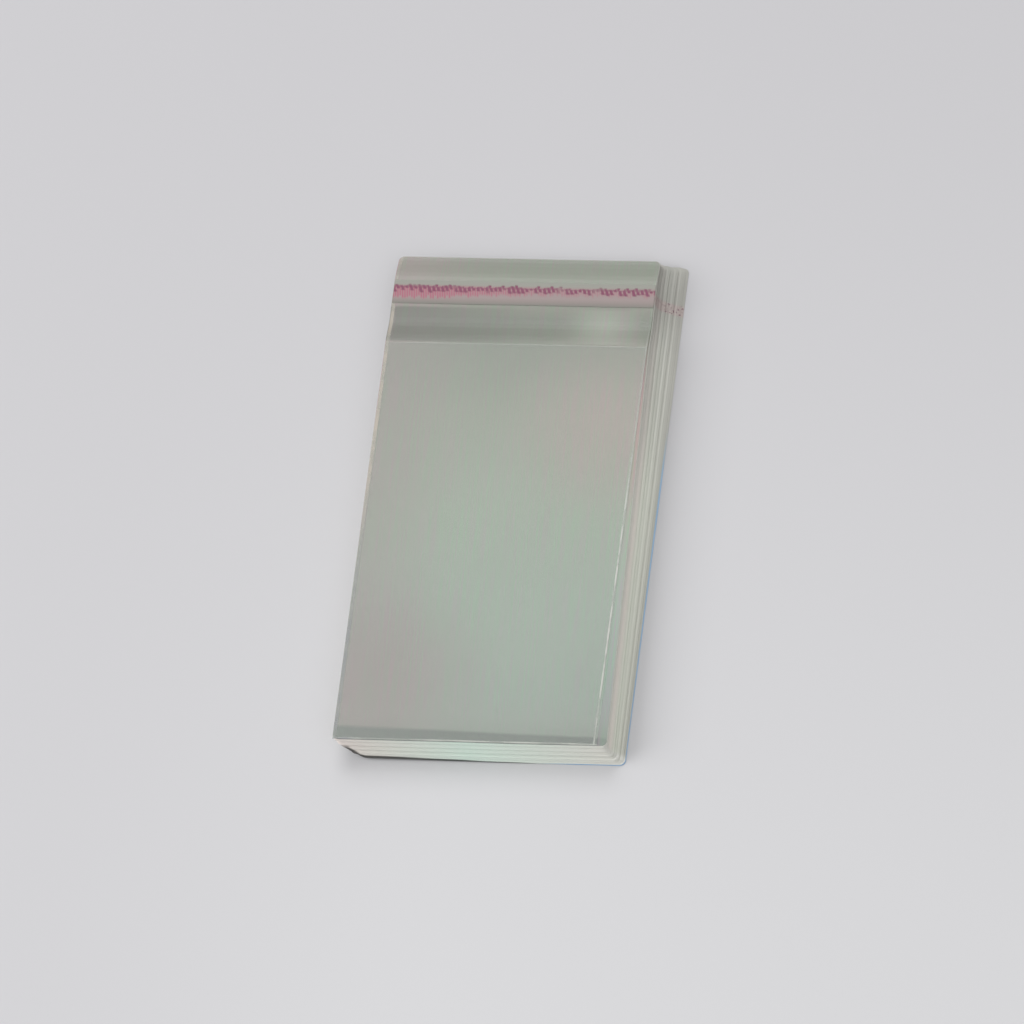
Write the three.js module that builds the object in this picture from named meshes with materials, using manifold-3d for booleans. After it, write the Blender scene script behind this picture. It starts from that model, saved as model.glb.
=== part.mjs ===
// A squared-up pack of clear, self-adhesive film bags that lies flat, with the flaps at +Y.
// Millimetres, +Z up. The origin is the middle of the pack's footprint, on the surface it rests on.

import * as THREE from 'three';
import { mergeVertices } from 'three/addons/utils/BufferGeometryUtils.js';
import Module from 'manifold-3d';

const wasm = await Module();
wasm.setup();

// One bag: a film folded at the bottom, welded along both sides and open at the mouth.
// Its back panel runs on past the mouth as the flap, which ends in a free lip.
const BAG_WIDTH = 100;
const BODY_LENGTH = 170;
const FLAP_LENGTH = 40;
const FILM = 0.05;
const SIDE_WELD = 1.2;

// The sealing strip on the flap: a line of adhesive under a peel-off liner that overhangs it.
const LIP_MARGIN = 12;
const LINER_WIDTH = 10;
const LINER_OVERHANG = 1;
const LINER_THICKNESS = 0.03;
const ADHESIVE_THICKNESS = 0.02;

// The pack: each bag holds a little air, the flaps hold more between mouth and strip than at the lip,
// and the top bag, with nothing on it, holds most.
const BAG_COUNT = 100;
const AIR_IN_BODY = 0.02;
const AIR_AT_FLAP = 0.045;
const AIR_AT_LIP = 0.015;
const AIR_IN_TOP_BAG = 0.3;
const SEAT_GAP = 0.05;

// Relief along the pack: the slope above the fold, the level run past the strip,
// and the slopes beside the mouth and the strip as shares of the room between them.
const FOLD_SHOULDER = 7;
const FOLD_DROP = 0.5;
const STRIP_SHELF = 0.8;
const MOUTH_SLOPE_SHARE = 0.65;
const STRIP_SLOPE_SHARE = 0.25;
const SLOPE_STEPS = 5;

// The lean: the lowest bags have slid forward and to the right, further at the flaps than at the folds,
// and a few handfuls stand proud. They lie pressed flat, so their lips reach past those of the slack upper
// bags. The uppermost bags' folded ends have swung to the left, the top one most.
const LEAN_AT_FLAP = 10;
const LEAN_AT_FOLD = 6;
const LEAN_FORWARD = 2;
const LIP_REACH = 1;
const LEAN_POWER = 2;
const TOP_BAG_SWING = 3.5;
const SWING_POWER = 5;
const LIFT_COUNT = 16;
const LIFT_OVERLAP = 0.02;
const STRAY_X = 0.4;
const STRAY_Y = 0.4;
const STRAY_X_TURN = 2.4;
const STRAY_Y_TURN = 1.7;

// Places along a bag, counted from its folded bottom.
const BAG_LENGTH = BODY_LENGTH + FLAP_LENGTH;
const STRIP_END = BAG_LENGTH - LIP_MARGIN;
const STRIP_START = STRIP_END - LINER_WIDTH;
const STRIP_MIDDLE = (STRIP_START + STRIP_END) / 2;

// Heights of the whole pack where the bags have different plies.
const BODY_HEIGHT = BAG_COUNT * (2 * FILM + AIR_IN_BODY);
const FLAP_HEIGHT = BAG_COUNT * (FILM + AIR_AT_FLAP);
const LIP_HEIGHT = BAG_COUNT * (FILM + AIR_AT_LIP);
const STRIP_HEIGHT = BAG_COUNT * (FILM + ADHESIVE_THICKNESS + LINER_THICKNESS);
const LOWER_SHARE = (BAG_COUNT - 1) / BAG_COUNT;

// The pack's height at each turn of its relief, as [place, height] from the fold to the lip.
const SHELF_START = STRIP_START - STRIP_SHELF;
const FLAP_ROOM = SHELF_START - BODY_LENGTH;
const RELIEF = [
  [0, BODY_HEIGHT - FOLD_DROP],
  [FOLD_SHOULDER, BODY_HEIGHT],
  [BODY_LENGTH, BODY_HEIGHT],
  [BODY_LENGTH + FLAP_ROOM * MOUTH_SLOPE_SHARE, FLAP_HEIGHT],
  [SHELF_START - FLAP_ROOM * STRIP_SLOPE_SHARE, FLAP_HEIGHT],
  [SHELF_START, STRIP_HEIGHT],
  [STRIP_END + STRIP_SHELF, STRIP_HEIGHT],
  [BAG_LENGTH, LIP_HEIGHT],
];

const filmMaterial = new THREE.MeshStandardMaterial({ color: 0xa6aea3, roughness: 0.25, metalness: 0 });
const edgeMaterial = new THREE.MeshStandardMaterial({ color: 0xb4b5ae, roughness: 0.35, metalness: 0 });
const adhesiveMaterial = new THREE.MeshStandardMaterial({ color: 0xc4bfae, roughness: 0.5, metalness: 0 });
const linerMaterial = new THREE.MeshStandardMaterial({ color: 0xa28088, roughness: 0.4, metalness: 0 });

// The relief as one line of short straight runs, eased from each turn to the next.
const reliefLine = RELIEF.slice(1).flatMap(([end, high], index) => {
  const [start, low] = RELIEF[index];
  const steps = low === high ? 1 : SLOPE_STEPS;
  return Array.from({ length: steps }, (_, step) => {
    const place = THREE.MathUtils.lerp(start, end, step / steps);
    const height = THREE.MathUtils.lerp(low, high, THREE.MathUtils.smoothstep(place, start, end));
    return new THREE.Vector2(place, height);
  });
});
reliefLine.push(new THREE.Vector2(BAG_LENGTH, LIP_HEIGHT));

// Height of the pack at a place along it. Past the ends it stays level.
function packHeight(place) {
  const next = reliefLine.findIndex((point) => point.x > place);
  if (next === 0) return reliefLine[0].y;
  if (next < 0) return LIP_HEIGHT;
  const before = reliefLine[next - 1];
  const after = reliefLine[next];
  return THREE.MathUtils.mapLinear(place, before.x, after.x, before.y, after.y);
}

// Places where the relief bends between two ends, with both ends.
function stations(from, to) {
  const bends = reliefLine.map((point) => point.x);
  return [from, ...bends.filter((place) => place > from && place < to), to];
}

// A line along the pack, as points [place, height], from one end to the other.
function lineAlong(from, to, height) {
  return stations(from, to).map((place) => new THREE.Vector2(place, height(place)));
}

// A lengthwise section, swept across the pack from left to left + width.
const ACROSS = new THREE.Matrix4().makeBasis(
  new THREE.Vector3(0, 1, 0),
  new THREE.Vector3(0, 0, 1),
  new THREE.Vector3(1, 0, 0),
);

function sweep(section, left, width) {
  const geometry = new THREE.ExtrudeGeometry(section, { depth: width, bevelEnabled: false });
  geometry.applyMatrix4(ACROSS);
  geometry.translate(left, 0, 0);
  return geometry;
}

// A slab between two heights along the pack.
function slabSection(from, to, low, high) {
  const underside = lineAlong(from, to, low);
  const top = lineAlong(from, to, high).reverse();
  return new THREE.Shape([...underside, ...top]);
}

function toSolid(geometry) {
  geometry.deleteAttribute('normal');
  geometry.deleteAttribute('uv');
  const merged = mergeVertices(geometry);
  const mesh = new wasm.Mesh({
    numProp: 3,
    vertProperties: new Float32Array(merged.attributes.position.array),
    triVerts: new Uint32Array(merged.index.array),
  });
  return new wasm.Manifold(mesh);
}

function toGeometry(solid) {
  const mesh = solid.getMesh();
  const geometry = new THREE.BufferGeometry();
  geometry.setAttribute('position', new THREE.BufferAttribute(mesh.vertProperties, 3));
  geometry.setIndex(new THREE.BufferAttribute(mesh.triVerts, 1));
  geometry.computeVertexNormals();
  return geometry;
}

// Where each handful of bags has slid to, from the lowest to the highest, measured from the top bag.
const lifts = Array.from({ length: LIFT_COUNT }, (_, index) => {
  const depth = 1 - index / (LIFT_COUNT - 1);
  const slid = depth ** LEAN_POWER;
  const stray = STRAY_X * depth * Math.sin(STRAY_X_TURN * index);
  const strayAlong = STRAY_Y * Math.sin(STRAY_Y_TURN * index);
  const swing = TOP_BAG_SWING * ((index + 0.5) / LIFT_COUNT) ** SWING_POWER;
  return {
    low: (LOWER_SHARE * index) / LIFT_COUNT,
    high: (LOWER_SHARE * (index + 1)) / LIFT_COUNT,
    atFold: LEAN_AT_FOLD * slid + stray - swing,
    atFlap: LEAN_AT_FLAP * slid + stray,
    fold: strayAlong - LEAN_FORWARD * slid,
    lip: BAG_LENGTH + strayAlong + LIP_REACH * slid,
  };
});

// How far something has slid to the right at a place along it.
function slidRight({ atFold, atFlap }, place) {
  return THREE.MathUtils.lerp(atFold, atFlap, place / BAG_LENGTH);
}

function slide(geometry, { atFold, atFlap }) {
  geometry.applyMatrix4(new THREE.Matrix4().makeShear(0, 0, (atFlap - atFold) / BAG_LENGTH, 0, 0, 0));
  geometry.translate(atFold, 0, 0);
  return geometry;
}

// All bags under the top one, pressed into one body with stepped edges.
function lowerBags() {
  const pieces = lifts.map((lift, index) => {
    const overlap = index === 0 ? 0 : LIFT_OVERLAP;
    const section = slabSection(
      lift.fold,
      lift.lip,
      (place) => lift.low * packHeight(place) - overlap,
      (place) => lift.high * packHeight(place),
    );
    return toSolid(slide(sweep(section, -BAG_WIDTH / 2, BAG_WIDTH), lift));
  });
  return toGeometry(pieces.reduce((pack, piece) => pack.add(piece)));
}

// Underside of the top bag, just clear of the bags that carry it.
const topBagSeat = (place) => LOWER_SHARE * packHeight(place) + SEAT_GAP;
const FOLD_RADIUS = FILM + AIR_IN_TOP_BAG / 2;
const QUARTER_TURN = Math.PI / 2;
const WELD_DEPTH = FILM / 2;

// The top bag's film in section: the back panel with the flap, the round fold and the front panel.
function foldedFilmSection() {
  const frontPanel = FILM + AIR_IN_TOP_BAG;
  const foldMiddle = topBagSeat(FOLD_RADIUS) + FOLD_RADIUS;
  const panel = (end, rise) => lineAlong(FOLD_RADIUS, end, (place) => topBagSeat(place) + rise);
  const section = new THREE.Shape(panel(BAG_LENGTH, FILM).reverse());
  const lineOn = (points) => points.forEach((point) => section.lineTo(point.x, point.y));
  section.absarc(FOLD_RADIUS, foldMiddle, FOLD_RADIUS - FILM, 3 * QUARTER_TURN, QUARTER_TURN, true);
  lineOn(panel(BODY_LENGTH, frontPanel));
  lineOn(panel(BODY_LENGTH, frontPanel + FILM).reverse());
  section.absarc(FOLD_RADIUS, foldMiddle, FOLD_RADIUS, QUARTER_TURN, 3 * QUARTER_TURN, false);
  lineOn(panel(BAG_LENGTH, 0));
  return section;
}

// The weld that closes the pocket along one side, sunk half a film into both panels.
function sideWeld(left) {
  const section = slabSection(
    FOLD_RADIUS,
    BODY_LENGTH,
    (place) => topBagSeat(place) + WELD_DEPTH,
    (place) => topBagSeat(place) + 2 * FILM + AIR_IN_TOP_BAG - WELD_DEPTH,
  );
  return toSolid(sweep(section, left, SIDE_WELD));
}

const topBagSlide = { atFold: -TOP_BAG_SWING, atFlap: 0 };

function topBag() {
  const left = -BAG_WIDTH / 2;
  const film = toSolid(sweep(foldedFilmSection(), left, BAG_WIDTH));
  const welded = film.add(sideWeld(left)).add(sideWeld(left + BAG_WIDTH - SIDE_WELD));
  return slide(toGeometry(welded), topBagSlide);
}

// A flat strip across the flap, centred on the sealing strip.
function flapStrip(name, width, thickness, bottom, material) {
  const strip = new THREE.Mesh(new THREE.BoxGeometry(BAG_WIDTH, width, thickness), material);
  strip.name = name;
  strip.position.set(slidRight(topBagSlide, STRIP_MIDDLE), STRIP_MIDDLE, bottom + thickness / 2);
  return strip;
}

function named(name, geometry, material) {
  const mesh = new THREE.Mesh(geometry, material);
  mesh.name = name;
  return mesh;
}

const flapTop = topBagSeat(STRIP_MIDDLE) + FILM;
const adhesiveWidth = LINER_WIDTH - 2 * LINER_OVERHANG;
const linerBottom = flapTop + ADHESIVE_THICKNESS;

// The top bag lies at the origin while it is built. The group moves the pack's middle there instead.
const liftRights = lifts.flatMap((lift) => [slidRight(lift, lift.fold), slidRight(lift, lift.lip)]);
const rights = [-TOP_BAG_SWING, 0, ...liftRights];
const ends = [0, BAG_LENGTH, ...lifts.flatMap((lift) => [lift.fold, lift.lip])];
const middle = (values) => (Math.min(...values) + Math.max(...values)) / 2;

const pack = new THREE.Group();
pack.name = 'pack_of_film_bags';
pack.position.set(-middle(rights), -middle(ends), 0);
pack.add(named('lower_bags', lowerBags(), edgeMaterial));
pack.add(named('top_bag', topBag(), filmMaterial));
pack.add(flapStrip('adhesive_strip', adhesiveWidth, ADHESIVE_THICKNESS, flapTop, adhesiveMaterial));
pack.add(flapStrip('release_liner', LINER_WIDTH, LINER_THICKNESS, linerBottom, linerMaterial));

export default pack;
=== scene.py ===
# %% [markdown]
# # A pack of clear film bags
# About a hundred self-adhesive film bags lie flat in a squared-up pack that has slid a little to one side.
# Each bag is one long film: folded at the bottom, welded along both sides, open at the mouth, with a flap
# that closes by an adhesive strip under a peel-off liner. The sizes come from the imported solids, and this
# lesson gives them their looks: the many fine edges of the lower bags, one clear folded film for the top
# bag, the strip on its flap, and the finishes.

# %% Load the frame
import math
import random

import bmesh
import bpy
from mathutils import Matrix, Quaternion, Vector, noise
from mathutils.bvhtree import BVHTree


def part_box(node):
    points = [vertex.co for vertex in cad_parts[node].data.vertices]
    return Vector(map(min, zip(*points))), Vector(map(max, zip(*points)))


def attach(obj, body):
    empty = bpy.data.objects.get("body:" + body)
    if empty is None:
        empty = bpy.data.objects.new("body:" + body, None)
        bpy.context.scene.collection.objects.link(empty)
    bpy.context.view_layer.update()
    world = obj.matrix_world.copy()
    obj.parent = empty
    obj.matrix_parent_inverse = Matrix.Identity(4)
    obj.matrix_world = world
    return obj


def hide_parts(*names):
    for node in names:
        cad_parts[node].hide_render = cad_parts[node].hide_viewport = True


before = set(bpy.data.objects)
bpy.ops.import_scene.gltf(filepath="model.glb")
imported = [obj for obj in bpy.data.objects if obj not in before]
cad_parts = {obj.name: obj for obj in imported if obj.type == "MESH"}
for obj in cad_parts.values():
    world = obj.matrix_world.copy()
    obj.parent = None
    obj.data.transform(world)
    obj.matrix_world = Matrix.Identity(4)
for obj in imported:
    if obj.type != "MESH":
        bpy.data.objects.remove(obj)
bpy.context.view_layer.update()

MM = 0.001

# %% [markdown]
# ## The camera
# The photograph was taken from above the front right corner, with a long lens and the camera tilted
# clockwise. A camera could be aimed with a constraint, but a direction, a distance and a roll are easier
# to read and to change. The values come from fitting the pack's corners to the photograph.

# %% Place the camera
VIEW_AZIMUTH = 19.1
VIEW_ELEVATION = 60.1
VIEW_ROLL = 15.4
VIEW_DISTANCE = 6.418
VIEW_TARGET = Vector((-0.70 * MM, -0.16 * MM, 0))
LENS = 600


def direction(azimuth, elevation):
    """The unit vector from the pack towards a place round it, in degrees; azimuth 0 is in front."""
    turn, rise = math.radians(azimuth), math.radians(elevation)
    return Vector((math.sin(turn) * math.cos(rise), -math.cos(turn) * math.cos(rise), math.sin(rise)))


camera = bpy.data.objects.new("camera", bpy.data.cameras.new("camera"))
bpy.context.collection.objects.link(camera)
camera.data.lens = LENS
towards_camera = direction(VIEW_AZIMUTH, VIEW_ELEVATION)
upright = towards_camera.to_track_quat("Z", "Y")
camera.location = VIEW_TARGET + towards_camera * VIEW_DISTANCE
camera.rotation_mode = "QUATERNION"
camera.rotation_quaternion = upright @ Quaternion((0, 0, 1), -math.radians(VIEW_ROLL))
bpy.context.scene.camera = camera
print("camera at", [round(value, 3) for value in camera.location])

# %% [markdown]
# ## Sizes from the frame
# The liner runs across the whole bag, so its length is the bag's width. The top bag's box is wider than
# that by as much as its folded end has swung to the left. The lowest bag reaches furthest to the right
# and furthest forward, so the boxes also tell how far the pack leans.

# %% Read the bag's sizes
liner_low, liner_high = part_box("release_liner")
glue_low, glue_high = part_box("adhesive_strip")
top_low, top_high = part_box("top_bag")
pack_low, pack_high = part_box("lower_bags")

FLAP_LENGTH = 40 * MM
LEAN_AT_FOLD = 6 * MM
LIP_REACH = 1 * MM

BAG_WIDTH = liner_high.x - liner_low.x
LIP_Y, FOLD_Y = top_high.y, top_low.y
MOUTH_Y = LIP_Y - FLAP_LENGTH
BAG_LENGTH = LIP_Y - FOLD_Y
BODY_LENGTH = MOUTH_Y - FOLD_Y
MIDDLE_X = top_high.x - BAG_WIDTH / 2
TOP_SWING = top_high.x - top_low.x - BAG_WIDTH
LEAN_AT_FLAP = pack_high.x - top_high.x
LEAN_FORWARD = FOLD_Y - pack_low.y
print("bag in mm:", round(BAG_WIDTH / MM, 2), "by", round(BAG_LENGTH / MM, 2))
print("lean in mm:", [round(value / MM, 2) for value in (LEAN_AT_FOLD, LEAN_AT_FLAP, LEAN_FORWARD)])

# %% [markdown]
# ## The relief of the pack
# Where the bags have two plies the pack is thick, at the flaps it is thin, and the sealing strips make a
# low ridge. The solid already has this relief, so a ray is dropped on it at each place along the pack.
# An average of a few rays rounds its corners, because film bends in soft curves, and a little noise
# makes the slack of thin film that never lies quite flat.

# %% Measure the relief and add the film's slack
ROUNDING = 3 * MM
END_MARGIN = 0.6 * MM
SLACK = 0.22 * MM
SLACK_ACROSS = 26 * MM
SLACK_ALONG = 48 * MM
SLACK_LEVEL = 0.3

solid_tree = BVHTree.FromObject(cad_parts["lower_bags"], bpy.context.evaluated_depsgraph_get())


def solid_height(y):
    """Height of the solid under the top bag, straight below a ray at y."""
    inside = min(max(y, FOLD_Y + END_MARGIN), LIP_Y - END_MARGIN)
    hit = solid_tree.ray_cast(Vector((MIDDLE_X, inside, 1)), Vector((0, 0, -1)))[0]
    return hit.z


RELIEF_STEP = 0.5 * MM
relief_count = int(BAG_LENGTH / RELIEF_STEP) + 1
relief_line = [
    sum(solid_height(FOLD_Y + step * RELIEF_STEP + offset * ROUNDING) for offset in (-1, -0.5, 0, 0.5, 1)) / 5
    for step in range(relief_count)
]


def pack_height(x, y):
    """Height of the lower bags' top, with the film's slack."""
    place = min(max((y - FOLD_Y) / RELIEF_STEP, 0), relief_count - 1.001)
    step = int(place)
    relief = relief_line[step] + (relief_line[step + 1] - relief_line[step]) * (place - step)
    slack = noise.noise(Vector((x / SLACK_ACROSS, y / SLACK_ALONG, SLACK_LEVEL)))
    return relief + SLACK * slack


print("relief from", round(min(relief_line) / MM, 2), "to", round(max(relief_line) / MM, 2), "mm")

# %% [markdown]
# ## The plan of one bag
# Every bag has the same outline: a rectangle whose corners are a little round. A grid of faces is laid out
# on it, with closer rows at its ends, where the corners curve, and closer columns along the welds.
# Placing the rows and columns by name keeps one plan for the lower bags and for the top one.

# %% Lay out rows and columns
CORNER_RADIUS = 2 * MM
CORNER_STEPS = 4
ROW_STEP = 2 * MM
WELD = 1.2 * MM
COLUMN_COUNT = 30


def corner_rows():
    """Distances from the lip at which the round corner is cut into rows."""
    quarter = math.pi / 2
    return [CORNER_RADIUS * (1 - math.cos(step * quarter / CORNER_STEPS)) for step in range(CORNER_STEPS)]


def even_rows(start, end):
    """Places from start to end about a row step apart, both ends included."""
    count = max(1, round(abs(end - start) / ROW_STEP))
    return [start + (end - start) * step / count for step in range(count + 1)]


def columns():
    """Places across the bag from 0 to 1, closer together at the two welds."""
    weld = WELD / BAG_WIDTH
    inner = [weld * 2 + (1 - weld * 4) * step / COLUMN_COUNT for step in range(COLUMN_COUNT + 1)]
    return [0, weld / 2, weld, *inner, 1 - weld, 1 - weld / 2, 1]


def half_width(from_end):
    """Half of the bag's width, which shrinks where the corners at an end are round."""
    if from_end >= CORNER_RADIUS:
        return BAG_WIDTH / 2
    gap = CORNER_RADIUS - max(from_end, 0)
    return BAG_WIDTH / 2 - CORNER_RADIUS + math.sqrt(CORNER_RADIUS**2 - gap**2)


def plan_layers(mesh):
    """Two values that each vertex keeps: its place across the bag and its place along it."""
    layers = mesh.verts.layers.float
    return layers.get("across") or layers.new("across"), layers.get("along") or layers.new("along")


def plan_grid(mesh, across, along):
    """A new grid in the mesh, whose vertices know their place across and along the bag."""
    plan_layers(mesh)
    made = bmesh.ops.create_grid(mesh, x_segments=len(across) - 1, y_segments=len(along) - 1, size=0.5)
    across_layer, along_layer = plan_layers(mesh)
    for vertex in made["verts"]:
        column = round((vertex.co.x + 0.5) * (len(across) - 1))
        row = round((vertex.co.y + 0.5) * (len(along) - 1))
        vertex[across_layer] = across[column]
        vertex[along_layer] = along[row]
    return made["verts"]


fold_rows = [BAG_LENGTH - from_fold for from_fold in reversed(corner_rows())]
bag_rows = corner_rows() + even_rows(CORNER_RADIUS, BAG_LENGTH - CORNER_RADIUS) + fold_rows
print("one bag has", len(columns()) - 1, "columns and", len(bag_rows) - 1, "rows of faces")

# %% [markdown]
# ## The lower bags
# Ninety-nine bags lie under the top one, and what shows of them is their edges. A texture of lines could
# stand for those, but seen from the side real steps catch the light, so the grid is extruded bag by bag:
# first sideways, which makes the ledge between two bags, and then up by one bag's thickness. The lowest
# bags have slid furthest and lie flattest, so that their lips reach furthest too. The uppermost ones have
# swung left like the top bag, some of them more and some less, so the pack fans out there. Handfuls of bags
# stand proud together, and each bag is a hair out of line.

# %% Where each bag has slid to
BAG_COUNT = 100
LEAVES = BAG_COUNT - 1
HANDFULS = 16
LEAN_POWER = 2.5
FAN_POWER = 0.7
STRAY_X, STRAY_X_TURN = 0.35 * MM, 2.4
STRAY_Y, STRAY_Y_TURN = 0.2 * MM, 1.7
LEAF_STRAY_X, LEAF_STRAY_Y = 0.14 * MM, 0.12 * MM
SEED = 7


def leaf_slide(leaf, chance):
    """How far a bag's fold and lip have slid, right and back, and how far its fold fans out to the left."""
    depth = 1 - leaf / (LEAVES - 1)
    slid = depth**LEAN_POWER
    handful = int(leaf * HANDFULS / LEAVES)
    right = STRAY_X * depth * math.sin(STRAY_X_TURN * handful) + chance.uniform(-1, 1) * LEAF_STRAY_X
    back = STRAY_Y * math.sin(STRAY_Y_TURN * handful) + chance.uniform(-1, 1) * LEAF_STRAY_Y
    turned = chance.uniform(-1, 1) * LEAF_STRAY_X
    fold = Vector((LEAN_AT_FOLD * slid + right - turned, back - LEAN_FORWARD * slid))
    lip = Vector((LEAN_AT_FLAP * slid + right + turned, back + LIP_REACH * slid))
    fan = TOP_SWING * (leaf / LEAVES) ** FAN_POWER
    return fold, lip, fan


chance = random.Random(SEED)
slides = [leaf_slide(leaf, chance) for leaf in range(LEAVES)]
print("lowest bag has slid", [tuple(round(value / MM, 2) for value in end) for end in slides[0][:2]], "mm")

# %% [markdown]
# The walls grow from the rim of a flat grid: its edges are extruded ring by ring, and each ring is placed
# afresh on the plan, so that no error adds up. A second grid closes the top. Heights stay a share of the
# whole, from 0 to 1, until all bags are there. Then one pass lays the stack over the relief, and lifts the
# front left corner off the table, where the photograph shows a dark gap.

# %% Stack the lower bags
LIFT = 1.4 * MM
LIFT_ACROSS = 80 * MM
LIFT_ALONG = 22 * MM
LIFT_AT_TOP = 0.3
LIFT_CURVE_ACROSS, LIFT_CURVE_ALONG = 1.5, 2
SAME_PLACE = 1e-7


def corner_lift(x, y):
    """How far the pack's front left corner is raised from the table."""
    across = max(0, 1 - (x - MIDDLE_X + BAG_WIDTH / 2) / LIFT_ACROSS)
    along = max(0, 1 - (y - pack_low.y) / LIFT_ALONG)
    return LIFT * min(across, 1) ** LIFT_CURVE_ACROSS * min(along, 1) ** LIFT_CURVE_ALONG


def lay_leaf(mesh, vertices, slide, share):
    """Places vertices on the plan of a bag that has slid, at a share of the pack's height."""
    across_layer, along_layer = plan_layers(mesh)
    fold, lip, fan = slide
    for vertex in vertices:
        column, from_lip = vertex[across_layer], vertex[along_layer]
        moved = lip.lerp(fold, from_lip / BAG_LENGTH)
        fanned = fan * (1 - column) * from_lip / BAG_LENGTH
        width = half_width(min(from_lip, BAG_LENGTH - from_lip))
        x = MIDDLE_X + moved.x - fanned + (2 * column - 1) * width
        vertex.co = (x, LIP_Y - from_lip + moved.y, share)


def raise_ring(mesh, ring, slide, share):
    """Extrudes a ring of edges to where a bag's outline lies and returns the new ring."""
    made = bmesh.ops.extrude_edge_only(mesh, edges=ring)["geom"]
    lay_leaf(mesh, [item for item in made if isinstance(item, bmesh.types.BMVert)], slide, share)
    return [item for item in made if isinstance(item, bmesh.types.BMEdge)]


def stack_lower_bags():
    mesh = bmesh.new()
    lay_leaf(mesh, plan_grid(mesh, columns(), bag_rows), slides[0], 0)
    ring = [edge for edge in mesh.edges if edge.is_boundary]
    for leaf, slide in enumerate(slides):
        if leaf > 0:
            ring = raise_ring(mesh, ring, slide, leaf / LEAVES)
        ring = raise_ring(mesh, ring, slide, (leaf + 1) / LEAVES)
    lay_leaf(mesh, plan_grid(mesh, columns(), bag_rows), slides[-1], 1)
    bmesh.ops.remove_doubles(mesh, verts=mesh.verts, dist=SAME_PLACE)
    return mesh


lower_mesh = stack_lower_bags()
print("stacked", LEAVES, "bags:", len(lower_mesh.faces), "faces")

# %% [markdown]
# Each face remembers which bag it belongs to in an attribute, which the finish turns into lighter and
# darker edges. The top faces get the first material slot and the edges the second.

# %% Number the bags and lay the stack over the relief
TOP_SLOT, EDGE_SLOT = 0, 1


def finish_piece(name, mesh, *materials):
    """A new object from a bmesh, with its materials, riding on the pack."""
    data = bpy.data.meshes.new(name)
    mesh.to_mesh(data)
    mesh.free()
    piece = bpy.data.objects.new(name, data)
    bpy.context.collection.objects.link(piece)
    for material in materials:
        data.materials.append(material)
    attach(piece, "root")
    print(name, "has", len(data.polygons), "faces")
    return piece


leaf_layer = lower_mesh.faces.layers.float.new("leaf")
for face in lower_mesh.faces:
    face[leaf_layer] = math.floor(face.calc_center_median().z * LEAVES + 0.01)
    face.material_index = TOP_SLOT if face[leaf_layer] == LEAVES else EDGE_SLOT
for vertex in lower_mesh.verts:
    x, y, share = vertex.co
    lifted = 1 + (LIFT_AT_TOP - 1) * share
    vertex.co.z = share * pack_height(x, y) + lifted * corner_lift(x, y)
bmesh.ops.recalc_face_normals(lower_mesh, faces=lower_mesh.faces)
lower_bags = finish_piece("stacked_bags", lower_mesh)
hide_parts("lower_bags")

# %% [markdown]
# ## The top bag
# The top bag is one film, 100 mm wide and 380 mm long, folded once. It is laid out flat as a grid from
# the flap's lip over the back panel to the fold, and on over the front panel to the mouth. Every row is
# then moved to its place in the folded bag, and a Solidify modifier gives the film its thickness. Cloth
# simulation could fold it too, but a film that lies pressed flat has little left to fall.

# %% Fold the top bag
FILM = 0.05 * MM
SEAT = 0.1 * MM
POCKET = 0.3 * MM
WELD_GAP = FILM + 0.015 * MM
FOLD_STEPS = 6
FILM_LENGTH = BAG_LENGTH + BODY_LENGTH
POCKET_RISE = 0.12
POCKET_RIPPLE = 0.10 * MM
RIPPLES_ACROSS, RIPPLE_LENGTH, RIPPLE_LEVEL = 5.2, 30 * MM, 4.1


def pocket_gap(column, y):
    """The distance between the bag's two panels: none to speak of at the welds, most in the middle."""
    from_weld = min(column, 1 - column)
    rise = min(1, max(0, (from_weld - WELD / BAG_WIDTH) / POCKET_RISE))
    swell = rise * rise * (3 - 2 * rise)
    ripple = noise.noise(Vector((column * RIPPLES_ACROSS, y / RIPPLE_LENGTH, RIPPLE_LEVEL)))
    return WELD_GAP + swell * (POCKET - WELD_GAP + POCKET_RIPPLE * ripple)


def film_rows():
    """Places along the film from the lip: back panel, fold and front panel up to the mouth."""
    turn = math.pi * POCKET / 4
    back = corner_rows() + even_rows(CORNER_RADIUS, BAG_LENGTH - turn)
    front = even_rows(BAG_LENGTH + turn, BAG_LENGTH + BODY_LENGTH)
    fold = [BAG_LENGTH - turn + 2 * turn * step / FOLD_STEPS for step in range(1, FOLD_STEPS)]
    return back + fold + front


def film_place(along):
    """Where a place along the film comes to lie: its y, and how far it has turned to the front panel."""
    turn = math.pi * POCKET / 4
    past_fold = along - BAG_LENGTH
    if past_fold <= -turn:
        return LIP_Y - along, 0
    if past_fold >= turn:
        return FOLD_Y + past_fold, 1
    angle = math.pi * (past_fold + turn) / (2 * turn)
    return FOLD_Y + turn - math.sin(angle) * POCKET / 2, (1 - math.cos(angle)) / 2


def top_bag_x(column, y, width):
    """The place across the pack of a point on the top bag, whose folded end has swung left."""
    return MIDDLE_X - TOP_SWING * (LIP_Y - y) / BAG_LENGTH + (2 * column - 1) * width


def map_plan(mesh, name, start, end):
    """A UV map of the plan: across the bag, and along it from start to end."""
    uv_layer = mesh.loops.layers.uv.new(name)
    across_layer, along_layer = plan_layers(mesh)
    for face in mesh.faces:
        for corner in face.loops:
            along = (corner.vert[along_layer] - start) / (end - start)
            corner[uv_layer].uv = (corner.vert[across_layer], along)
    bmesh.ops.recalc_face_normals(mesh, faces=mesh.faces)


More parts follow.
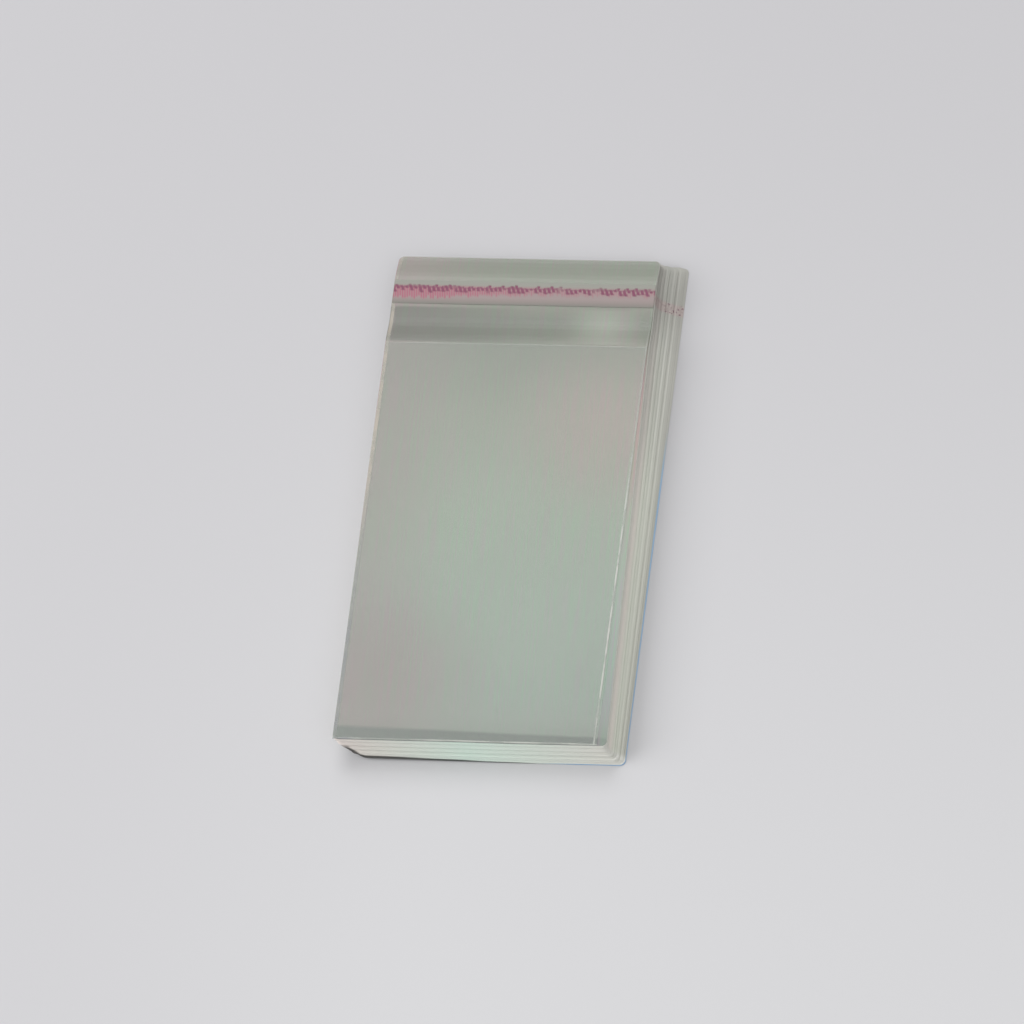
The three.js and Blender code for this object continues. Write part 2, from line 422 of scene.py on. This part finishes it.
def fold_film():
    mesh = bmesh.new()
    places = plan_grid(mesh, columns(), film_rows())
    across_layer, along_layer = plan_layers(mesh)
    for vertex in places:
        column, along = vertex[across_layer], vertex[along_layer]
        y, turned = film_place(along)
        x = top_bag_x(column, y, half_width(along))
        seat = pack_height(x, y) + LIFT_AT_TOP * corner_lift(x, y) + SEAT
        vertex.co = (x, y, seat + FILM / 2 + turned * pocket_gap(column, y))
    map_plan(mesh, "film", 0, FILM_LENGTH)
    return mesh


top_bag = finish_piece("top_film_bag", fold_film())
film_wall = top_bag.modifiers.new("film_wall", "SOLIDIFY")
film_wall.thickness = FILM
film_wall.offset = 0
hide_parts("top_bag")

# %% [markdown]
# ## The sealing strip
# On the flap lie a line of adhesive and, over it, the peel-off liner. Both are thin strips that follow the
# flap's low ridge, so each is a grid laid on the film below it and thickened upwards by Solidify.

# %% Lay the adhesive and the liner
STRIP_COLUMNS = 60
STRIP_ROWS = 6


def lay_strip(name, low, high, rise):
    """A strip across the flap between two places along it, resting rise above the flap's film."""
    mesh = bmesh.new()
    across = [step / STRIP_COLUMNS for step in range(STRIP_COLUMNS + 1)]
    along = [low.y + (high.y - low.y) * step / STRIP_ROWS for step in range(STRIP_ROWS + 1)]
    places = plan_grid(mesh, across, along)
    across_layer, along_layer = plan_layers(mesh)
    for vertex in places:
        y = vertex[along_layer]
        x = top_bag_x(vertex[across_layer], y, BAG_WIDTH / 2)
        vertex.co = (x, y, pack_height(x, y) + SEAT + FILM + rise)
    map_plan(mesh, "strip", low.y, high.y)
    piece = finish_piece(name, mesh)
    wall = piece.modifiers.new("strip_wall", "SOLIDIFY")
    wall.thickness = high.z - low.z
    wall.offset = 1
    return piece


STRIP_CLEARANCE = 0.01 * MM
adhesive = lay_strip("sealing_adhesive", glue_low, glue_high, STRIP_CLEARANCE)
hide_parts("adhesive_strip")
liner_rise = glue_high.z - glue_low.z + 2 * STRIP_CLEARANCE
liner = lay_strip("peel_off_liner", liner_low, liner_high, liner_rise)
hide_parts("release_liner")

# %% [markdown]
# ## Helpers for the finishes
# Every finish is a small network of nodes. Written out in full they are hard to read, so a few helpers
# add one node each and take either a number or another node's output.

# %% A finish and its nodes


def colour(red, green, blue):
    """A colour as it looks on a screen, from 0 to 255, turned into light for the shader."""
    levels = [level / 255 for level in (red, green, blue)]
    light = [level / 12.92 if level <= 0.04045 else ((level + 0.055) / 1.055) ** 2.4 for level in levels]
    return (*light, 1)


class Finish:
    """A material that is being made: its node tree and its main shader."""

    def __init__(self, name, **settings):
        self.material = bpy.data.materials.new(name)
        self.material.use_nodes = True
        self.tree = self.material.node_tree
        self.shader = self.tree.nodes["Principled BSDF"]
        for socket, value in settings.items():
            self.set(socket.replace("_", " ").title().replace("Ior", "IOR"), value)

    def feed(self, socket, value):
        if isinstance(value, bpy.types.NodeSocket):
            self.tree.links.new(value, socket)
        else:
            socket.default_value = value

    def set(self, socket, value):
        self.feed(self.shader.inputs[socket], value)

    def node(self, kind, **settings):
        made = self.tree.nodes.new("ShaderNode" + kind)
        for name, value in settings.items():
            setattr(made, name, value)
        return made

    def calc(self, operation, *values):
        """One sum; the result of the other helpers is mostly put together from these."""
        made = self.node("Math", operation=operation)
        for socket, value in zip(made.inputs, values):
            self.feed(socket, value)
        return made.outputs[0]

    def ease(self, value, start, end):
        """Rises softly from 0 at start to 1 at end; with start past end it falls."""
        made = self.node("MapRange", interpolation_type="SMOOTHSTEP")
        for socket, given in zip(made.inputs, (value, start, end)):
            self.feed(socket, given)
        return made.outputs[0]

    def band(self, value, start, end, soft):
        """1 between start and end, with soft sides outside them."""
        rise = self.ease(value, start - soft, start)
        fall = self.ease(value, end + soft, end)
        return self.calc("MULTIPLY", rise, fall)

    def blend(self, amount, first, second, kind="MIX"):
        made = self.node("Mix", data_type="RGBA", blend_type=kind)
        self.feed(made.inputs[0], amount)
        self.feed(made.inputs[6], first)
        self.feed(made.inputs[7], second)
        return made.outputs[2]

    def ramp(self, value, stops):
        """Colours along a line, from a list of places and colours."""
        made = self.node("ValToRGB")
        line = made.color_ramp.elements
        for index, (place, shade) in enumerate(stops):
            stop = line[index] if index < len(line) else line.new(place)
            stop.position = place
            stop.color = shade
        self.feed(made.inputs[0], value)
        return made.outputs[0]

    def axes(self, output="Object"):
        """The three object coordinates, in metres, or a UV map's two and a zero."""
        place = self.node("TexCoord").outputs[output]
        split = self.node("SeparateXYZ")
        self.feed(split.inputs[0], place)
        return split.outputs

    def stretched(self, across, along, up, output="Object"):
        """Coordinates divided by a length each way, for noise that is longer one way than another."""
        mapping = self.node("Mapping")
        self.feed(mapping.inputs["Vector"], self.node("TexCoord").outputs[output])
        mapping.inputs["Scale"].default_value = (1 / across, 1 / along, 1 / up)
        return mapping.outputs[0]

    def cloud(self, place, detail=2):
        made = self.node("TexNoise")
        made.inputs["Scale"].default_value = 1
        made.inputs["Detail"].default_value = detail
        self.feed(made.inputs["Vector"], place)
        return made.outputs[0]

    def patch(self, centre_x, centre_y, radius):
        """A soft round spot on the pack's top, 1 in its middle and 0 at its rim."""
        x, y, _ = self.axes()
        away_x = self.calc("POWER", self.calc("SUBTRACT", x, centre_x), 2)
        away_y = self.calc("POWER", self.calc("SUBTRACT", y, centre_y), 2)
        away = self.calc("SQRT", self.calc("ADD", away_x, away_y))
        return self.ease(away, radius, 0)

    def bump(self, height, distance, strength=1):
        made = self.node("Bump")
        made.inputs["Strength"].default_value = strength
        made.inputs["Distance"].default_value = distance
        self.feed(made.inputs["Height"], height)
        self.set("Normal", made.outputs[0])


print("finish helpers ready")

# %% [markdown]
# ## The finish of the stacked film
# A stack of clear film is grey-green and pearly: light is thrown back a little at each of its many faces.
# The tone follows the bags: pale over the two plies of the body, darker between mouth and strip where
# only flaps lie and the pack dips, a painted shade of that trough, and paler again towards the lips. A
# colour ramp along the pack holds these bands, and wide soft patches give the faint pink and green that
# the photograph shows, a painted iridescent sheen. Just above the fold lies a dark curve of painted
# shade, and on the right the stack shows beside the top bag as a narrow ledge.

# %% Finish of the lower bags' top


def along_bag(finish):
    """The place along the bag, 0 at the fold and 1 at the lip."""
    return finish.calc("DIVIDE", finish.calc("SUBTRACT", finish.axes()[1], FOLD_Y), BAG_LENGTH)


def at(millimetres):
    """A distance from the fold as a share of the bag's length."""
    return millimetres * MM / BAG_LENGTH


# The dark stops from 168 to 187 mm are painted shade of the low trough between mouth and strip.
TONES_ALONG = [
    (at(0), colour(172, 180, 175)),
    (at(20), colour(173, 193, 183)),
    (at(60), colour(184, 203, 191)),
    (at(100), colour(187, 200, 184)),
    (at(140), colour(170, 177, 161)),
    (at(168), colour(138, 143, 129)),
    (at(171), colour(124, 127, 116)),
    (at(182), colour(114, 116, 107)),
    (at(187), colour(140, 138, 129)),
    (at(197), colour(150, 153, 142)),
    (at(205), colour(146, 150, 139)),
    (at(210), colour(138, 141, 132)),
]
# Painted shade and a painted highlight for the flaps between mouth and strip.
FLAP_SHADE = colour(78, 80, 71)
FLAP_HIGHLIGHT = colour(168, 172, 162)
# Painted iridescent sheen: wide patches of green and pink.
PEARL_GREEN = colour(172, 200, 180)
PEARL_ROSE = colour(213, 182, 182)
PEARL_PINK = colour(174, 150, 156)
# Painted shade just above the fold.
CRESCENT_SHADE = colour(84, 94, 98)
CRESCENT_LEFT, CRESCENT_RIGHT = 6.0 * MM, 3.5 * MM
UNCOVERED = colour(222, 216, 220)
GRAIN = 20


def pearl(finish, base):
    """Wide faint patches of green and pink over a base colour, a painted iridescent sheen."""
    green = finish.patch(MIDDLE_X, -30 * MM, 75 * MM)
    upper_pink = finish.patch(MIDDLE_X + 38 * MM, 32 * MM, 48 * MM)
    lower_pink = finish.patch(MIDDLE_X - 42 * MM, -78 * MM, 55 * MM)
    tinted = finish.blend(finish.calc("MULTIPLY", green, 0.4), base, PEARL_GREEN)
    tinted = finish.blend(finish.calc("MULTIPLY", upper_pink, 0.7), tinted, PEARL_ROSE)
    left = finish.ease(finish.axes()[0], MIDDLE_X - 10 * MM, MIDDLE_X - 52 * MM)
    tinted = finish.blend(finish.calc("MULTIPLY", left, 0.6), tinted, PEARL_PINK)
    return finish.blend(finish.calc("MULTIPLY", lower_pink, 0.9), tinted, PEARL_PINK)


def flap_shade(finish, base):
    """Between mouth and strip painted shade darkens the flaps on the left, and a painted highlight makes a
    pale patch on the right.
    """
    x, y, _ = finish.axes()
    flap = finish.band(y, MOUTH_Y + 1.5 * MM, liner_low.y - 2 * MM, 1.5 * MM)
    dark = finish.calc("MULTIPLY", flap, finish.ease(x, MIDDLE_X + 15 * MM, MIDDLE_X - 45 * MM))
    pale = finish.patch(MIDDLE_X + 32 * MM, (MOUTH_Y + liner_low.y) / 2, 20 * MM)
    shaded = finish.blend(finish.calc("MULTIPLY", dark, 0.75), base, FLAP_SHADE)
    return finish.blend(finish.calc("MULTIPLY", finish.calc("MULTIPLY", pale, flap), 0.8), shaded, FLAP_HIGHLIGHT)


def grain_and_sheen(finish, base, amount):
    """Fine lengthwise streaks, as drawn film has, some a hair greener and some a hair pinker: the streaks are
    the film's grain, their tints a painted iridescent sheen.
    """
    streaks = finish.cloud(finish.stretched(0.7 * MM, 32 * MM, 1), detail=3)
    green = colour(255 - amount, 255, 255 - amount)
    pink = colour(255, 255 - amount, 255 - amount / 2)
    tint = finish.blend(finish.ease(streaks, 0.3, 0.7), green, pink)
    return finish.blend(1.0, base, tint, "MULTIPLY")


def beside_film(finish):
    """1 on the narrow ledge beside the top bag, whose right edge has swung off it towards the fold."""
    x, y, _ = finish.axes()
    from_lip = finish.calc("SUBTRACT", y, LIP_Y)
    film_edge = finish.calc("MULTIPLY_ADD", from_lip, TOP_SWING / BAG_LENGTH, top_high.x)
    return finish.ease(finish.calc("SUBTRACT", x, film_edge), -0.3 * MM, 0.3 * MM)


def crescent(finish, base):
    """Painted shade in a curve above the fold, deep on the left and shallow on the right, faint beside the
    film.
    """
    x, y, _ = finish.axes()
    across = finish.calc("DIVIDE", finish.calc("SUBTRACT", x, top_low.x), BAG_WIDTH)
    depth = finish.calc("MULTIPLY_ADD", across, CRESCENT_RIGHT - CRESCENT_LEFT, CRESCENT_LEFT)
    from_fold = finish.calc("SUBTRACT", y, FOLD_Y)
    inside = finish.ease(finish.calc("DIVIDE", from_fold, depth), 1.15, 0.75)
    strength = finish.calc("MULTIPLY_ADD", beside_film(finish), -0.7, 0.9)
    return finish.blend(finish.calc("MULTIPLY", inside, strength), base, CRESCENT_SHADE)


def uncovered(finish, base):
    """Beside the top bag nothing covers the stack, and without that film's veil it is a little darker."""
    return finish.blend(beside_film(finish), base, UNCOVERED, "MULTIPLY")


def stacked_film_finish():
    finish = Finish("stacked_film", roughness=0.36, ior=1.5)
    tone = finish.ramp(along_bag(finish), TONES_ALONG)
    tone = crescent(finish, flap_shade(finish, pearl(finish, tone)))
    finish.set("Base Color", uncovered(finish, grain_and_sheen(finish, tone, GRAIN)))
    finish.bump(finish.cloud(finish.stretched(9 * MM, 30 * MM, 1)), 0.3 * MM, 0.25)
    return finish.material


stacked_film = stacked_film_finish()
print("made", stacked_film.name)

# %% [markdown]
# ## The finish of the film edges
# Cut and folded edges scatter light, so they look whiter than the flat film. A ramp over the bags' numbers
# makes the stack palest above its middle, a painted highlight band, and darker towards the lowest bags;
# painted shade darkens it far back. A random number for each bag makes single bags lighter or darker, and
# a slower noise does so for handfuls. The folds in front have tones of their own from left to right. The
# red of the strips shows at their ends, the lowest bags have a blue sheen on the right, and under the
# raised corner painted shade makes a dark gap.

# %% Finish of the edges
EDGE_DARK = colour(156, 155, 148)
EDGE_LIGHT = colour(224, 223, 217)
EDGE_BLUE = colour(150, 194, 230)
# Painted shade for the gap under the raised corner.
GAP_SHADE = colour(34, 34, 36)
MARK_PINK = colour(202, 150, 158)
MARK_RED = colour(104, 44, 72)
FOLD_TONES = [
    (0.0, colour(239, 230, 226)),
    (0.5, colour(231, 246, 237)),
    (1.0, colour(237, 237, 231)),
]
# Palest above the middle: a painted highlight band on the sides.
EDGE_TONES = [
    (0.00, colour(184, 184, 174)),
    (0.15, colour(217, 219, 208)),
    (0.38, colour(233, 237, 225)),
    (0.60, colour(251, 246, 239)),
    (0.75, colour(243, 240, 233)),
    (1.00, colour(223, 225, 217)),
]


def edge_tone(finish, leaf):
    """A brightness from 0 to 1 for each bag, from its number."""
    single = finish.node("TexWhiteNoise", noise_dimensions="1D")
    finish.feed(single.inputs["W"], leaf)
    handful = finish.node("TexNoise", noise_dimensions="1D")
    finish.feed(handful.inputs["W"], finish.calc("MULTIPLY", leaf, 0.31))
    handful.inputs["Scale"].default_value = 1
    shared = finish.calc("MULTIPLY", handful.outputs[0], 0.6)
    return finish.calc("MULTIPLY_ADD", single.outputs["Value"], 0.45, shared)


def strip_marks(finish, base, leaf):
    """Where the strips end: a faint pink with dark red flecks, most of them on the lower bags."""
    y = finish.axes()[1]
    band = finish.band(y, liner_low.y + 2.5 * MM, liner_high.y - 4.5 * MM, 1.5 * MM)
    flecks = finish.cloud(finish.stretched(0.9 * MM, 0.7 * MM, 0.5 * MM), detail=1)
    dark = finish.calc("MULTIPLY", finish.ease(flecks, 0.60, 0.68), band)
    low_down = finish.calc("MULTIPLY_ADD", finish.ease(leaf, 60, 10), 0.5, 0.35)
    tinted = finish.blend(finish.calc("MULTIPLY", band, 0.25), base, MARK_PINK)
    return finish.blend(finish.calc("MULTIPLY", dark, low_down), tinted, MARK_RED)


def painted_gap_shade(finish, base, leaf):
    """Painted shade under the raised front left corner, which creeps up the folds of the lowest bags and
    along their left edges.
    """
    x, y, _ = finish.axes()
    reach = finish.calc("MULTIPLY", finish.ease(x, MIDDLE_X + 45 * MM, MIDDLE_X - 45 * MM), 9)
    low = finish.ease(finish.calc("SUBTRACT", leaf, reach), 0, -1.5)
    across = finish.node("Attribute", attribute_name="across").outputs["Fac"]
    corner = finish.calc("MULTIPLY", finish.ease(across, 0.02, 0.004), finish.ease(leaf, 60, 42))
    low = finish.calc("MAXIMUM", low, corner)
    front = finish.ease(y, FOLD_Y + 4 * MM, FOLD_Y)
    return finish.blend(finish.calc("MULTIPLY", finish.calc("MULTIPLY", low, front), 0.85), base, GAP_SHADE)


def side_tone(finish, leaf):
    """The stack's sides: a painted highlight band above the middle, paler and darker handfuls, with single
    bags most distinct, and darkest far back, where shade is painted.
    """
    y = finish.axes()[1]
    tone = finish.ramp(finish.calc("DIVIDE", leaf, LEAVES), EDGE_TONES)
    lined = finish.blend(edge_tone(finish, leaf), EDGE_DARK, EDGE_LIGHT)
    distinct = finish.calc("MULTIPLY_ADD", finish.ease(y, -10 * MM, 60 * MM), 0.4, 0.15)
    tone = finish.blend(distinct, tone, lined)
    # Painted shade darkens the sides far back.
    far = finish.ease(y, 55 * MM, 95 * MM)
    return finish.blend(finish.calc("MULTIPLY", far, 0.6), tone, EDGE_DARK)


def fold_tone(finish, base):
    """The pale folds in front, pinkish on the left and greenish in the middle."""
    x, y, _ = finish.axes()
    front = finish.ease(y, FOLD_Y + 3 * MM, FOLD_Y)
    across = finish.calc("DIVIDE", finish.calc("SUBTRACT", x, top_low.x), BAG_WIDTH)
    return finish.blend(finish.calc("MULTIPLY", front, 0.9), base, finish.ramp(across, FOLD_TONES))


def blue_sheen(finish, base, leaf):
    """The blue sheen of the lowest bags, on the right and towards the front."""
    x, y, _ = finish.axes()
    lowest = finish.ease(leaf, 4, 1)
    right = finish.ease(x, MIDDLE_X + 20 * MM, MIDDLE_X + 40 * MM)
    near = finish.ease(y, 40 * MM, 10 * MM)
    blue = finish.calc("MULTIPLY", finish.calc("MULTIPLY", lowest, right), near)
    return finish.blend(finish.calc("MULTIPLY", blue, 0.9), base, EDGE_BLUE)


def film_edge_finish():
    finish = Finish("film_edges", roughness=0.38, ior=1.45)
    leaf = finish.node("Attribute", attribute_name="leaf").outputs["Fac"]
    tone = blue_sheen(finish, fold_tone(finish, side_tone(finish, leaf)), leaf)
    finish.set("Base Color", strip_marks(finish, painted_gap_shade(finish, tone, leaf), leaf))
    return finish.material


film_edges = film_edge_finish()
lower_bags.data.materials.append(stacked_film)
lower_bags.data.materials.append(film_edges)
print("made", film_edges.name)

# %% [markdown]
# ## The finish of the clear film
# The top bag is clear: the bags below show through it. Its welds, its lip, its mouth and its fold are
# whiter and less clear, which is how one sees the bag at all: most at the right weld, where the film
# stands a little proud, and least at the lip. The left edge has a painted warm highlight at the flap and
# painted shade at the fold.
# The film's own UV map says how far a point is from each of them, so the lines stay on the bag's edges
# wherever it lies.

# %% Finish of the top bag
CLEAR_FILM = colour(194, 201, 192)
FILM_EDGE = colour(228, 228, 222)
FILM_EDGE_GLINT = colour(228, 206, 190)
FILM_EDGE_SHADE = colour(148, 145, 157)
WELD_LINE = 0.7 * MM
CUT_LINE = 0.45 * MM
CLEAR, CLOUDED = 0.13, 0.72


def film_edge_lines(finish):
    """How white the film is: most at the right weld and the fold, little at the lip and the mouth."""
    across, along, _ = finish.axes("UV")
    y = finish.axes()[1]
    line = WELD_LINE / BAG_WIDTH
    lower_end = finish.ease(y, 45 * MM, -15 * MM)
    inset = WELD / BAG_WIDTH
    weld = finish.calc("MULTIPLY_ADD", along_bag(finish), inset, 1 - inset)
    from_weld = finish.calc("ABSOLUTE", finish.calc("SUBTRACT", across, weld))
    right = finish.calc("MULTIPLY", finish.ease(from_weld, 0.7 * line, 0.25 * line),
                        finish.calc("MULTIPLY_ADD", lower_end, 0.5, 0.2))
    left = finish.calc("MULTIPLY", finish.ease(across, 2.4 * line, 1.4 * line), 0.5)
    cut = CUT_LINE / FILM_LENGTH
    lip = finish.calc("MULTIPLY", finish.ease(along, cut * 1.5, cut * 0.5), 0.25)
    mouth = finish.calc("MULTIPLY", finish.ease(along, 1 - cut * 1.5, 1 - cut * 0.5), 0.14)
    fold = finish.band(along, BAG_LENGTH / FILM_LENGTH - cut, BAG_LENGTH / FILM_LENGTH + cut, cut)
    ends = finish.calc("MAXIMUM", finish.calc("MAXIMUM", lip, mouth), finish.calc("MULTIPLY", fold, 0.6))
    lines = finish.calc("MAXIMUM", finish.calc("MAXIMUM", left, right), ends)
    broken = finish.cloud(finish.stretched(12 * MM, 9 * MM, 1), detail=2)
    uneven = finish.calc("MULTIPLY_ADD", finish.ease(broken, 0.3, 0.65), 0.7, 0.3)
    return finish.calc("MULTIPLY", lines, uneven)


def clear_film_finish():
    finish = Finish("clear_film", roughness=0.3, ior=1.5)
    lines = film_edge_lines(finish)
    # The left edge: a painted warm highlight at the flap and painted shade towards the fold.
    left = finish.blend(finish.ease(finish.axes()[1], 20 * MM, -50 * MM), FILM_EDGE_GLINT, FILM_EDGE_SHADE)
    whitened = finish.blend(finish.ease(finish.axes("UV")[0], 0.1, 0.05), FILM_EDGE, left)
    finish.set("Base Color", finish.blend(lines, CLEAR_FILM, whitened))
    finish.set("Alpha", finish.calc("MULTIPLY_ADD", lines, CLOUDED - CLEAR, CLEAR))
    finish.bump(finish.cloud(finish.stretched(7 * MM, 24 * MM, 1)), 0.3 * MM, 0.3)
    return finish.material


clear_film = clear_film_finish()
top_bag.data.materials.append(clear_film)
print("made", clear_film.name)

# %% [markdown]
# ## The finish of the sealing strip
# The liner is a thin, cloudy film with a red mark, a generic row of slanted strokes: dark ones of uneven
# length above, and paler ones below that fade to the right. Each stroke is a cell along the strip with its
# own random number. A ramp over the strip's width brings the liner's edges close to the film's tone. The
# adhesive is a dull pinkish film.

# %% Finishes of the liner and the adhesive
STROKE_RED = colour(118, 36, 76)
STROKE_PINK = colour(182, 84, 114)
LINER_TONES = [
    (0.00, colour(134, 132, 124)),
    (0.12, colour(150, 140, 135)),
    (0.30, colour(163, 147, 145)),
    (0.60, colour(163, 146, 144)),
    (0.85, colour(157, 156, 147)),
    (1.00, colour(154, 156, 146)),
]
LINER_BODY = 0.8
DARK_PITCH, PALE_PITCH = 1.7 * MM, 0.9 * MM


def strokes(finish, pitch, slant, seed):
    """Slanted strokes across the strip: their ink from 0 to 1, and a random number for each."""
    across, along, _ = finish.axes("UV")
    place = finish.calc("MULTIPLY_ADD", across, BAG_WIDTH / pitch, finish.calc("MULTIPLY", along, slant))
    cell = finish.calc("FLOOR", place)
    inside = finish.calc("SUBTRACT", place, cell)
    random_cell = finish.node("TexWhiteNoise", noise_dimensions="1D")
    finish.feed(random_cell.inputs["W"], finish.calc("ADD", cell, seed))
    from_middle = finish.calc("ABSOLUTE", finish.calc("SUBTRACT", inside, 0.5))
    ink = finish.ease(from_middle, 0.42, 0.2)
    return ink, random_cell.outputs["Value"]


def row_between(finish, foot, head, soft):
    """1 between two places along the strip's width, which may differ from stroke to stroke."""
    along = finish.axes("UV")[1]
    rise = finish.ease(along, foot, finish.calc("ADD", foot, soft))
    fall = finish.ease(along, head, finish.calc("SUBTRACT", head, soft))
    return finish.calc("MULTIPLY", rise, fall)


def liner_ink(finish):
    """The dark row and the pale row, each from 0 to 1."""
    across = finish.axes("UV")[0]
    dark, dark_chance = strokes(finish, DARK_PITCH, 2.4, 11)
    cross, cross_chance = strokes(finish, DARK_PITCH, -2.4, 83)
    foot = finish.calc("MULTIPLY_ADD", dark_chance, 0.20, 0.42)
    head = finish.calc("MULTIPLY_ADD", cross_chance, 0.16, 0.74)
    worn = finish.cloud(finish.stretched(7 * MM, 6 * MM, 1), detail=3)
    pressed = finish.calc("MULTIPLY_ADD", finish.ease(worn, 0.34, 0.48), 0.55, 0.45)
    scribble = finish.calc("MAXIMUM", dark, finish.calc("MULTIPLY", cross, 0.6))
    dark_row = finish.calc("MULTIPLY", row_between(finish, foot, head, 0.08), pressed)
    pale, pale_chance = strokes(finish, PALE_PITCH, 1.4, 47)
    short = finish.calc("MULTIPLY", finish.ease(across, 0.05, 0.6), 0.2)
    pale_foot = finish.calc("ADD", finish.calc("MULTIPLY_ADD", pale_chance, 0.16, 0.10), short)
    pale_row = row_between(finish, pale_foot, 0.84, 0.16)
    fade = finish.calc("MULTIPLY_ADD", finish.ease(across, 0.15, 0.8), -0.55, 1)
    soaked = finish.calc("MULTIPLY_ADD", pale, 0.5, 0.3)
    return (
        finish.calc("MULTIPLY", scribble, dark_row),
        finish.calc("MULTIPLY", finish.calc("MULTIPLY", soaked, pale_row), fade),
    )


def liner_finish():
    finish = Finish("printed_liner", roughness=0.3, ior=1.45)
    dark, pale = liner_ink(finish)
    tone = finish.blend(pale, finish.ramp(finish.axes("UV")[1], LINER_TONES), STROKE_PINK)
    finish.set("Base Color", finish.blend(dark, tone, STROKE_RED))
    ink = finish.calc("MAXIMUM", dark, pale)
    finish.set("Alpha", finish.calc("MAXIMUM", LINER_BODY, ink))
    return finish.material


def adhesive_finish():
    finish = Finish("tacky_adhesive", roughness=0.5, ior=1.47, alpha=0.16)
    mottle = finish.cloud(finish.stretched(3 * MM, 1.5 * MM, 1), detail=3)
    finish.set("Base Color", finish.blend(mottle, colour(196, 176, 166), colour(182, 152, 152)))
    return finish.material


adhesive.data.materials.append(adhesive_finish())
liner.data.materials.append(liner_finish())
print("made the strip's finishes")

# %% [markdown]
# ## The flat film
# The size that the top bag's film was cut to is printed, so that the folded bag can be measured against
# its flat film.

print("film cut to", round(BAG_WIDTH / MM, 1), "by", round(FILM_LENGTH / MM, 1), "mm")

# %% [markdown]
# ## Floor and light
# The floor is pale grey, with painted shade that makes it a little darker at the back and on the left. Soft
# light comes from the whole room, with one large low lamp from the left, which puts a narrow shadow on the
# right, one behind the pack, whose reflection makes the flat film gleam, and a weak one in front, which
# brings out the edges. Where the film bends, at the fold and at the mouth, it mirrors the darker room
# instead, and painted shade in the film's finish darkens these places further.

# %% Floor
FLOOR_HALF = 6
FLOOR_DROP = 0.1 * MM
FLOOR_FADE = 0.3
FLOOR_LEFT = -0.18
FLOOR_LEFT_SHARE = 0.5
# Darker far back and on the left: painted shade on the floor.
FLOOR_FAR = colour(199, 198, 201)
FLOOR_NEAR = colour(214, 214, 216)


def floor_finish():
    finish = Finish("pale_floor", roughness=0.85)
    x, y, _ = finish.axes()
    near = finish.ease(y, FLOOR_FADE, -FLOOR_FADE)
    right = finish.calc("MULTIPLY_ADD", finish.ease(x, FLOOR_LEFT, 0), 1 - FLOOR_LEFT_SHARE, FLOOR_LEFT_SHARE)
    finish.set("Base Color", finish.blend(finish.calc("MULTIPLY", near, right), FLOOR_FAR, FLOOR_NEAR))
    return finish.material


floor_mesh = bmesh.new()
bmesh.ops.create_grid(floor_mesh, x_segments=1, y_segments=1, size=FLOOR_HALF)
bmesh.ops.translate(floor_mesh, verts=floor_mesh.verts, vec=(0, 0, -FLOOR_DROP))
floor_data = bpy.data.meshes.new("floor")
floor_mesh.to_mesh(floor_data)
floor_mesh.free()
floor = bpy.data.objects.new("floor", floor_data)
bpy.context.collection.objects.link(floor)
floor_data.materials.append(floor_finish())
print("floor is", 2 * FLOOR_HALF, "m wide")

# %% Room light and lamps
ROOM_LIGHT = 0.455
LAMPS = {
    "left_lamp": {"azimuth": -80, "elevation": 36, "distance": 5, "size": 3.1, "power": 141},
    "back_lamp": {"azimuth": 199, "elevation": 52, "distance": 4.4, "size": 2.6, "power": 62},
    "front_lamp": {"azimuth": 40, "elevation": 45, "distance": 3.2, "size": 2, "power": 10},
}


def light_room():
    world = bpy.data.worlds.new("room")
    world.use_nodes = True
    background = world.node_tree.nodes["Background"]
    background.inputs["Color"].default_value = (1, 1, 1, 1)
    background.inputs["Strength"].default_value = ROOM_LIGHT
    bpy.context.scene.world = world


def hang_lamp(name, azimuth, elevation, distance, size, power):
    lamp = bpy.data.objects.new(name, bpy.data.lights.new(name, "AREA"))
    bpy.context.collection.objects.link(lamp)
    lamp.data.size = size
    lamp.data.energy = power
    aim = direction(azimuth, elevation)
    lamp.location = aim * distance
    lamp.rotation_euler = aim.to_track_quat("Z", "Y").to_euler()
    lamp.visible_camera = False


light_room()
for name, lamp in LAMPS.items():
    hang_lamp(name, **lamp)
bpy.context.scene.view_settings.view_transform = "Standard"
print("lamps:", ", ".join(LAMPS))
